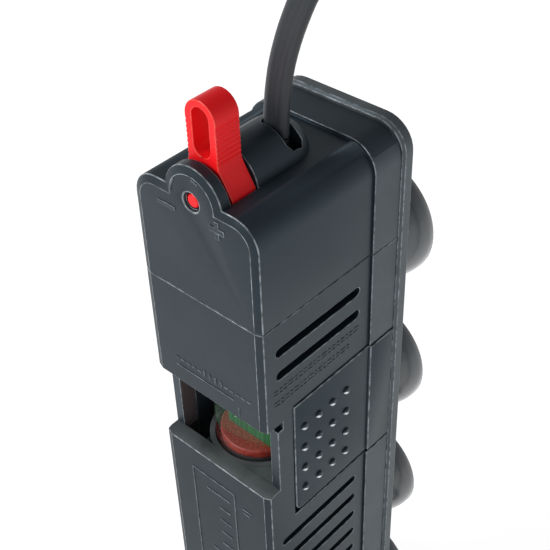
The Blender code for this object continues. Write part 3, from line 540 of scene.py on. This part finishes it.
# The lead, in millimetres: out of the drum, over beside the head and down to the coil.
ROUTE = [
    (1.6, -8.3, 246.4),
    (1.7, -8.3, 252),
    (2.2, -8, 259),
    (3.3, -7, 268),
    (5.6, -4.9, 278.5),
    (9, -1.8, 288.5),
    (15, 4, 298),
    (25, 12.5, 304.6),
    (38, 20.5, 305.5),
    (51, 26.5, 299.5),
    (62.5, 30.5, 286),
    (72, 33, 268),
    (79.5, 34.5, 246),
    (85, 35.5, 222),
    (89.2, 36, 195),
    (92.2, 36, 165),
    (94.9, 35.6, 135),
    (98, 34.2, 105),
    (101.6, 31.8, 80),
    (105, 28.2, 57),
    (107.4, 22.5, 38),
    (108.8, 13.5, 22.5),
    (109.3, 3, 13.8),
]
TAIL = [(61, -47.2, 4.6), (52, -48.4, 5.8), (43, -49, 7)]
COIL_CENTRE = (70, -8)
COIL_INNER, COIL_PITCH = 27.4, 4.8  # the turns stand on edge side by side
UPPER_LAYER, LOWER_LAYER = 11, 4.5
TURNS_PER_LAYER, DROP_TURNS = 2.5, 0.25
LEAD_WIDTH, LEAD_THICKNESS = 7.0, 4.2


def ease(t):
    """0 up to t = 0, 1 from t = 1, and a smooth step between."""
    t = min(1, max(0, t))
    return t * t * (3 - 2 * t)


def coil_points():
    """The coil's middle line: inwards on the upper layer, down, and outwards on the lower one."""
    points = []
    step = 15  # degrees
    total = 2 * TURNS_PER_LAYER + DROP_TURNS
    centre_x, centre_y = COIL_CENTRE
    for i in range(int(360 * total / step) + 1):
        turn = i * step / 360
        outward = max(TURNS_PER_LAYER - turn, turn - TURNS_PER_LAYER - DROP_TURNS, 0)
        radius = COIL_INNER + COIL_PITCH * outward
        height = UPPER_LAYER + (LOWER_LAYER - UPPER_LAYER) * ease((turn - TURNS_PER_LAYER) / DROP_TURNS)
        angle = -2 * math.pi * turn
        points.append((centre_x + radius * math.cos(angle), centre_y + radius * math.sin(angle), height))
    return points


def smooth_path(route, spacing):
    """Points this far apart on a smooth curve through the route, and how far along it each one is."""
    route = np.array(route, float)
    padded = np.vstack([2 * route[0] - route[1], route, 2 * route[-1] - route[-2]])
    t = np.linspace(0, 1, 12, endpoint=False)[:, None]
    dense = []
    for a, b, c, d in zip(padded, padded[1:], padded[2:], padded[3:]):
        square, cube = 2 * a - 5 * b + 4 * c - d, 3 * b - a - 3 * c + d
        dense.append(0.5 * (2 * b + (c - a) * t + square * t**2 + cube * t**3))
    dense = np.vstack([*dense, route[-1:]])
    along = np.concatenate([[0], np.cumsum(np.linalg.norm(np.diff(dense, axis=0), axis=1))])
    stops = np.linspace(0, along[-1], int(along[-1] / spacing) + 1)
    return np.column_stack([np.interp(stops, along, dense[:, k]) for k in range(3)]), stops


def lead_section():
    """Two round cores side by side in one jacket, with a shallow valley between them."""
    radius = LEAD_THICKNESS / 2
    offset = LEAD_WIDTH / 2 - radius
    points = []
    for angle in np.radians(np.arange(0, 360, 12)):
        u, v = math.cos(angle), math.sin(angle)
        x = u * (offset + radius)
        past_core = max(0, abs(x) - offset)
        height = math.sqrt(max(0, radius**2 - past_core**2))
        valley = 0.42 * math.exp(-((x / 0.75) ** 2))
        points.append((x, (height - valley) * math.copysign(1, v) if abs(v) > 1e-6 else 0))
    return points


def lead_broad_side(stops, coil_start, coil_end):
    """Which way the flat lead's broad side points at each stop."""
    first, second = math.radians(17), math.radians(33)
    # How far along the lead, and where its broad side points there.
    keys = [
        (0, (math.cos(first), math.sin(first), 0)),
        (20, (math.cos(first), math.sin(first), 0)),
        (62, (math.cos(second), math.sin(second), 0)),
        (190, (-0.45, 0.89, 0)),
        (coil_start - 110, (-0.45, 0.89, 0)),
        (coil_start + 25, (0, 0, 1)),
        (coil_end - 20, (0, 0, 1)),
        (stops[-1] - 4, (0, 1, 0)),
        (stops[-1] + 1, (0, 1, 0)),
    ]
    sides = []
    for stop in stops:
        later = next(i for i, (at, _) in enumerate(keys) if at > stop)
        (a, va), (b, vb) = keys[later - 1], keys[later]
        share = ease((stop - a) / (b - a))
        sides.append(Vector(va).slerp(Vector(vb), share) if va != vb else Vector(va))
    return sides


def make_lead():
    whole = [*ROUTE, *coil_points(), *TAIL]
    path, stops = smooth_path(whole, 3)
    coil_start = smooth_path(ROUTE, 3)[1][-1]
    coil_end = stops[-1] - smooth_path(TAIL, 3)[1][-1]
    sides = lead_broad_side(stops, coil_start, coil_end)
    section = lead_section()
    tangents = np.gradient(path, axis=0)
    bm = bmesh.new()
    rings = []
    for point, tangent, side in zip(path, tangents, sides):
        tangent = Vector(tangent).normalized()
        broad = (side - side.project(tangent)).normalized()
        thin = tangent.cross(broad)
        rings.append([bm.verts.new((Vector(point) + broad * u + thin * v) * MM) for u, v in section])
    for lower, upper in zip(rings, rings[1:]):
        for i in range(len(section)):
            j = (i + 1) % len(section)
            bm.faces.new((lower[i], lower[j], upper[j], upper[i]))
    bm.faces.new(reversed(rings[0]))
    bm.faces.new(rings[-1])
    lead = dress(new_object("mains_lead", bm), "lead_jacket", angle=60)
    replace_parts(lead, "cord", "cord_coil", "cord_tail")
    return lead, path * MM


def tie_strap():
    """A strap round the coil, with its buckle on top."""
    low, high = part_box("cord_tie")
    middle_y, middle_z = (low.y + high.y) / 2, (low.z + high.z) / 2
    half_y, half_z = (high.y - low.y) / 2, (high.z - low.z) / 2
    corner = 1.6 * MM

    def loop(shrink):
        points = []
        for sy, sz, start in ((1, 1, 0), (-1, 1, 90), (-1, -1, 180), (1, -1, 270)):
            cy = middle_y - FRONT + sy * (half_y - corner)
            cz = middle_z + sz * (half_z - corner)
            points += arc(cy, cz, corner - shrink, start, start + 90, 5)
        return points

    strap = prism("strap", [loop(0), loop(0.45 * MM)], "X", low.x + 0.6 * MM, high.x - 0.6 * MM)
    middle_x, depth = (low.x + high.x) / 2, middle_y - FRONT
    x = (middle_x - 3 * MM, middle_x + 3 * MM)
    buckle = box(x, (depth - 3.2 * MM, depth + 3.2 * MM), (high.z - 1.1 * MM, high.z + 1.1 * MM))
    piece = dress(bevel(joined("lead_strap", [strap, buckle]), 0.25 * MM), "tie")
    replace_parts(piece, "cord_tie")
    return piece


def plug_pieces():
    """A flat two-pin plug with a grip waist, its ribbed strain relief and sleeved pins."""
    low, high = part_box("plug_body")
    middle_y, middle_z = (low.y + high.y) / 2, (low.z + high.z) / 2
    # The body's sections from the pins' face to the lead: x, then half the width and height in millimetres.
    sections = [
        (low.x, 6.2, 6.0),
        (low.x + 0.8 * MM, 7.0, 6.8),
        (low.x + 9 * MM, 6.9, 6.6),
        (low.x + 15 * MM, 5.9, 5.6),
        (low.x + 19 * MM, 5.6, 5.2),
        (low.x + 23 * MM, 4.6, 4.2),
        (low.x + 26 * MM, 4.0, 3.0),
    ]
    for i in range(6):
        start = low.x + (26.6 + 1.9 * i) * MM
        reach = 3.9 - 0.08 * i
        sections.append((start, reach - 0.55, 2.35))
        sections += [(start + rib * MM, reach, 2.8) for rib in (0.5, 1.4)]
    sections.append((high.x, 3.3, 2.1))
    bm = bmesh.new()
    rings = []
    for x, half_y, half_z in sections:
        ring = []
        for angle in np.radians(np.arange(0, 360, 12)):
            u, v = math.cos(angle), math.sin(angle)
            u, v = math.copysign(abs(u) ** 0.55, u), math.copysign(abs(v) ** 0.55, v)
            ring.append(bm.verts.new((x, middle_y + u * half_y * MM, middle_z + v * half_z * MM)))
        rings.append(ring)
    for a, b in zip(rings, rings[1:]):
        for i in range(len(a)):
            j = (i + 1) % len(a)
            bm.faces.new((a[i], a[j], b[j], b[i]))
    bm.faces.new(rings[0])
    bm.faces.new(rings[-1])
    body = dress(new_object("plug_moulding", bm), "lead_jacket", angle=40)
    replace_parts(body, "plug_body")
    pieces = [body]
    for number in (1, 2):
        low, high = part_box(f"plug_pin_{number}")
        x, y, z = low.x, (low.y + high.y) / 2, (low.z + high.z) / 2
        length = high.x - low.x
        tip = smooth_outline([(0, 0), (1.6 * MM, 0), (2 * MM, 1.2 * MM), (2 * MM, 8 * MM)])
        shank = [(1.85 * MM, 8.1 * MM), (1.85 * MM, length), (0, length)]
        pin = lathe(f"pin_{number}", [*tip, *shank], (0, 0, 0), steps=28)
        turn = Matrix.Translation((x, y, z)) @ Matrix.Rotation(math.radians(90), 4, "Y")
        pin.data.transform(turn @ Matrix.Translation((0, -FRONT, 0)))
        dress(pin, "brass")
        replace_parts(pin, f"plug_pin_{number}")
        pieces.append(pin)
    return pieces


# ---------------------------------------------------------------- head and lever


def setting_lever():
    """The red lever: hub, flared foot, finger with a long hole and fine grip ribs on both sides."""
    half, hub, eye_half = 5.2 * MM, 9.6 * MM, 2.9 * MM
    side = [(half, PIVOT + 8.7 * MM)]
    for i in range(8):
        z = PIVOT + (9.6 + 1.4 * i) * MM
        groove = half - 0.2 * MM
        side += [(half, z), (groove, z + 0.3 * MM), (groove, z + 0.5 * MM), (half, z + 0.8 * MM)]
    outline = [*side, *arc(0, LEVER_TOP - half, half, 0, 180, 24)]
    outline += [(-x, z) for x, z in reversed(side)]
    outline += arc(0, PIVOT, hub, 170, 370, 40)
    eye = arc(0, PIVOT + 21.6 * MM, eye_half, 0, 180, 14)
    eye += arc(0, PIVOT + 13.4 * MM, eye_half, 180, 360, 14)
    obj = prism("setting_lever", [outline, eye], "Y", LEVER_FRONT, 13.6 * MM)
    tip = [(0, 0.6 * MM), (1.65 * MM, 0.6 * MM), (1.95 * MM, 0.9 * MM), (1.95 * MM, 6 * MM), (0, 6 * MM)]
    obj = joined("setting_lever", [obj, lathe("pin", tip, (0, 0, PIVOT), "Y", 32)])
    dress(bevel(obj, 0.25 * MM, angle=50), "red_plastic", "lever")
    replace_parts(obj, "temperature_lever")


def head_marks():
    """Raised minus, plus, rail and three setting ticks on the head's front."""
    proud, sunk = -0.22 * MM, 0.15 * MM

    def bar(x, z):
        return box(x, (proud, sunk), z)

    minus = bar((-12.7 * MM, -6.3 * MM), (235.1 * MM, 236.2 * MM))
    x, z, arm, half = 8.7 * MM, 235.9 * MM, 2.6 * MM, 0.75 * MM
    cross = [(half, half), (arm, half), (arm, -half), (half, -half), (half, -arm), (-half, -arm)]
    outline = [(x + u, z + v) for u, v in cross]
    outline += [(x - u, z - v) for u, v in cross]
    plus = prism("plus", [outline], "Y", proud, sunk)
    rail = arc(0, PIVOT, 7.5 * MM, 178, 140, 8) + arc(0, PIVOT, 7.1 * MM, 140, 178, 8)
    rail = prism("rail", [rail], "Y", proud, sunk)
    ticks = []
    for angle in (82, 75, 68):
        a = math.radians(angle)
        x, z, half = 7 * MM * math.cos(a), PIVOT + 7 * MM * math.sin(a), 0.32 * MM
        ticks.append(bar((x - half, x + half), (z - half, z + half)))
    dress(bevel(joined("head_marks", [minus, plus, rail, *ticks]), 0.1 * MM), "housing")


# ---------------------------------------------------------------- main housing trim


def front_marks():
    """The water line's dashes, the fine rail under them and a plain level scale on the lower front."""
    proud, sunk = -0.2 * MM, 0.15 * MM

    def bar(x, z):
        return box((x[0] * MM, x[1] * MM), (proud, sunk), (z[0] * MM, z[1] * MM))

    parts = []
    for i in range(5):
        for side in (-1, 1):
            x = 2.1 + side * (5.2 + 2.2 * i)
            parts.append(bar((x - 0.65, x + 0.65), (180.1, 180.6)))
    for i in range(4):
        x = -1.2 + 2.2 * i
        parts.append(bar((x - 0.3, x + 0.3), (179.3 + 0.2 * (i % 2), 181.6)))
    parts.append(bar((-12.5, 10.2), (177.3, 177.6)))
    parts.append(bar((11.9, 12.2), (172.6, 175.6)))
    frame_x, frame_top, frame_foot = (-11, 7), 134, 40
    parts.append(bar(frame_x, (frame_top - 0.5, frame_top)))
    parts.append(bar(frame_x, (frame_foot, frame_foot + 0.5)))
    for x in frame_x:
        parts.append(bar((x - 0.25, x + 0.25), (frame_foot, frame_top)))
    for i in range(15):
        z = frame_top - 6 - 6 * i
        reach = 12 if i % 5 == 0 else 7
        parts.append(bar((frame_x[1] - reach, frame_x[1] - 2.5), (z - 0.35, z + 0.35)))
    parts.append(bar((10.5, 14.5), (129.6, 130.1)))
    parts.append(bar((10.5, 13.5), (127.9, 128.4)))
    dress(bevel(joined("front_marks", parts), 0.09 * MM), "housing")


def side_marks():
    """Two rows of short raised dashes in pairs on each side, where the real one is lettered."""
    lengths = (1.6, 0.8, 1.2, 2.1, 0.8, 1.4, 1.0)
    rows = ((183.9, 0, 40), (179.6, 3, 36))  # height, the first length's place and the depth of the row's end
    parts = []
    for side in (-1, 1):
        x = sorted((side * (SIDE - 0.15 * MM), side * (SIDE + 0.2 * MM)))
        for row_height, i, end in rows:
            depth = 4.2
            while depth < end:
                long = lengths[i % len(lengths)]
                for height in (-0.8, 0.5):
                    z = (row_height + height) * MM
                    parts.append(box(x, (depth * MM, (depth + long) * MM), (z, z + 0.35 * MM)))
                depth += long + 0.75
                i += 1
    dress(bevel(joined("side_marks", parts), 0.08 * MM, 1), "housing")


def grip_nub(side, face, column, row):
    """A small dome on the pad's face, with a pale painted highlight on its lower front."""
    nub_outline = [(1.3, -0.3), (1.3, 0.35), (1.05, 0.85), (0.5, 0.95), (0, 0.95)]
    dome = smooth_outline([(radius * MM, height * MM) for radius, height in nub_outline])
    nub = lathe("nub", dome, (0, 0, 0), steps=20)
    turn = Matrix.Rotation(math.radians(90 * side), 4, "Y")
    place = Vector((side * face, FRONT + (15.5 + 6.35 * column) * MM, (163 - 8.95 * row) * MM))
    nub.data.transform(Matrix.Translation(place) @ turn @ Matrix.Translation((0, -FRONT, 0)))
    # Faces turned to the lower front wear a pale painted highlight.
    painted_highlight = Vector((side * 0.6, -0.46, -0.655))
    for polygon in nub.data.polygons:
        polygon.material_index = 2 if polygon.normal.dot(painted_highlight) > 0.62 else 0
    return nub


def latch_pad(side, node, name, body):
    """A squeeze pad with its part of the slab, the hook behind it and four rows of grip nubs."""
    low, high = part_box(node)
    front, back = low.y - FRONT, 55.9 * MM
    corner = 3 * MM
    outline = [(back, low.z), (back, high.z), (front, high.z)]
    outline += arc(front + corner, low.z + corner, corner, 180, 270, 8)

    def across(near, far):
        return sorted((side * near, side * far))

    face = SIDE + 0.4 * MM
    parts = [prism("skin", [outline], "X", *across(19.8 * MM, face))]
    parts.append(box(across(20 * MM, face + 0.8 * MM), (SLAB, back), (low.z, high.z)))
    parts.append(box(across(20.2 * MM, 21.9 * MM), (54.9 * MM, 58.6 * MM), (141 * MM, 160 * MM)))
    pad = applied(coat(bevel(joined(name, parts), 0.3 * MM), "pads"))
    nubs = [grip_nub(side, face, column, row) for column in range(4) for row in range(4)]
    pad = joined(name, [pad, *nubs])
    dress(pad, "pads", body, 40)
    # The third material: the nubs' painted highlight.
    pad.data.materials.append(materials["nub_glints"])
    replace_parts(pad, node)


# ---------------------------------------------------------------- suction cups and tube


def suction_cup(number):
    """A bell of soft rubber on a neck, with a thin lip and a nib in the middle of its hollow."""
    low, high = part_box(f"suction_cup_{number}")
    z = (low.z + high.z) / 2
    radius = (high.x - low.x) / 2
    rim = high.y - FRONT
    seat = low.y - FRONT
    button, neck = 6.5 * MM, 4.2 * MM
    outer = [(0, seat), (button, seat), (button, seat + 0.8 * MM)]
    outer += [(neck, seat + 1.2 * MM), (neck, seat + 3.6 * MM)]
    bell = []
    for a in np.radians(range(0, 86, 6)):
        bell.append((neck + (radius - neck) * math.sin(a), rim - MM - (rim - MM - seat - neck) * math.cos(a)))
    lip = [(radius, rim - 0.5 * MM), (radius - 0.35 * MM, rim), (radius - 1.6 * MM, rim - 0.15 * MM)]
    hollow = []
    for a in np.radians(range(4, 85, 6)):
        hollow.append(((radius - 2 * MM) * math.cos(a), rim - 10.6 * MM * math.sin(a) - 0.4 * MM))
    nib = [(1.6 * MM, rim - 10.9 * MM), (1.4 * MM, rim - 9.6 * MM), (0, rim - 9.3 * MM)]
    cup = lathe(f"cup_{number}", [*outer, *bell, *lip, *hollow, *nib], (0, 0, z), "Y", 72)
    dress(cup, "cup_rubber", angle=50)
    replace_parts(cup, f"suction_cup_{number}")


def tube():
    """The glass tube, with a smooth round foot."""
    low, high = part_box("glass_tube")
    wall, soft = 1.2 * MM, 0.4 * MM
    outer = (high.x - low.x) / 2
    inner = outer - wall
    x, depth = (low.x + high.x) / 2, (low.y + high.y) / 2 - FRONT
    profile = arc(0, low.z + outer, outer, -90, 0, 12)
    top, shoulder = high.z, high.z - soft
    profile += [(outer, shoulder), (outer - soft, top), (inner + soft, top), (inner, shoulder)]
    profile += arc(0, low.z + outer, inner, 0, -90, 12)
    profile[0], profile[-1] = (0, low.z), (0, low.z + wall)
    glass = dress(lathe("tube_glass", profile, (x, depth, 0), steps=96), "glass", angle=50)
    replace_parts(glass, "glass_tube")


def disc():
    """The insulating disc with a softened rim."""
    low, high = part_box("insulating_disc")
    radius = (high.x - low.x) / 2
    x, depth = (low.x + high.x) / 2, (low.y + high.y) / 2 - FRONT
    soft = 0.35 * MM
    profile = [(0, low.z), (radius - soft, low.z), (radius, low.z + soft)]
    profile += [(radius, high.z - soft), (radius - soft, high.z), (0, high.z)]
    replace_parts(dress(lathe("disc", profile, (x, depth, 0), steps=96), "disc"), "insulating_disc")


# ---------------------------------------------------------------- stage


def make_stage():
    """A white floor under a sky that is white at the horizon and dim overhead."""
    bm = bmesh.new()
    bmesh.ops.create_grid(bm, x_segments=1, y_segments=1, size=6)
    floor = new_object("floor", bm)
    g = Graph("floor_white", Base_Color=(0.3, 0.3, 0.3, 1), Roughness=0.9)
    g.shader.inputs["Emission Color"].default_value = (1, 1, 1, 1)
    g.shader.inputs["Emission Strength"].default_value = 0.9
    floor.data.materials.append(g.material)
    world = bpy.data.worlds.new("studio")
    scene.world = world
    world.use_nodes = True
    tree = world.node_tree
    background = tree.nodes["Background"]
    place = tree.nodes.new("ShaderNodeTexCoord")
    split = tree.nodes.new("ShaderNodeSeparateXYZ")
    ramp = tree.nodes.new("ShaderNodeValToRGB")
    tree.links.new(place.outputs["Generated"], split.inputs[0])
    tree.links.new(split.outputs["Z"], ramp.inputs["Fac"])
    tree.links.new(ramp.outputs["Color"], background.inputs["Color"])
    horizon, zenith = ramp.color_ramp.elements
    horizon.position, horizon.color = 0.1, (1, 1, 1, 1)
    zenith.position, zenith.color = 0.9, (0.2, 0.2, 0.21, 1)
    background.inputs["Strength"].default_value = 0.7
    scene.view_settings.view_transform = "Standard"


def area_light(name, place, size, power):
    """A square light, turned to the window."""
    light = bpy.data.lights.new(name, "AREA")
    light.shape = "RECTANGLE"
    light.size = light.size_y = size
    light.energy = power
    obj = bpy.data.objects.new(name, light)
    scene.collection.objects.link(obj)
    obj.location = Vector(place)
    direction = Vector((0, 0, 180 * MM)) - obj.location
    obj.rotation_euler = direction.to_track_quat("-Z", "Y").to_euler()


def make_lights():
    """The key light from the upper left and a weak low one from the right, both placed in metres."""
    area_light("key", (-0.45, -0.85, 0.85), 0.4, 9)
    area_light("low", (0.5, -0.85, 0.12), 0.25, 0.5)


# ---------------------------------------------------------------- the whole

make_camera()
materials = make_materials()
lead, lead_path = make_lead()
strap = tie_strap()
plug = plug_pieces()
for subpart in frame["record"]["subparts"]:
    node = nodes[subpart["node"]]
    node.data.materials.clear()
    node.data.materials.append(materials[subpart["material_slot"]])
# Painted light and shade: lit and shaded copies of the body's plastic on chosen faces.
outside = [("front_face", is_front), ("slab_sides", is_slab_side)]
within = [("lower_front", is_lower_front), ("sill", is_sill), ("inner_walls", is_inner_wall)]
rounded_copy("head_housing", "head_shell", 0.24 * MM, outside)
rounded_copy("main_housing", "body_shell", 0.22 * MM, [*outside, *within])
# The whole back plate wears the paler plate grey as painted light.
rounded_copy("back_plate", "cup_plate", 0.2 * MM, [("plate", is_any)])
rounded_copy("base_cap", "foot_cap", 0.22 * MM)
setting_lever()
head_marks()
front_marks()
side_marks()
latch_pad(1, "latch_pad_right", "squeeze_pad_right", "pad_right")
latch_pad(-1, "latch_pad_left", "squeeze_pad_left", "pad_left")
for cup_number in range(1, 5):
    suction_cup(cup_number)
tube()
disc()
make_stage()
make_lights()
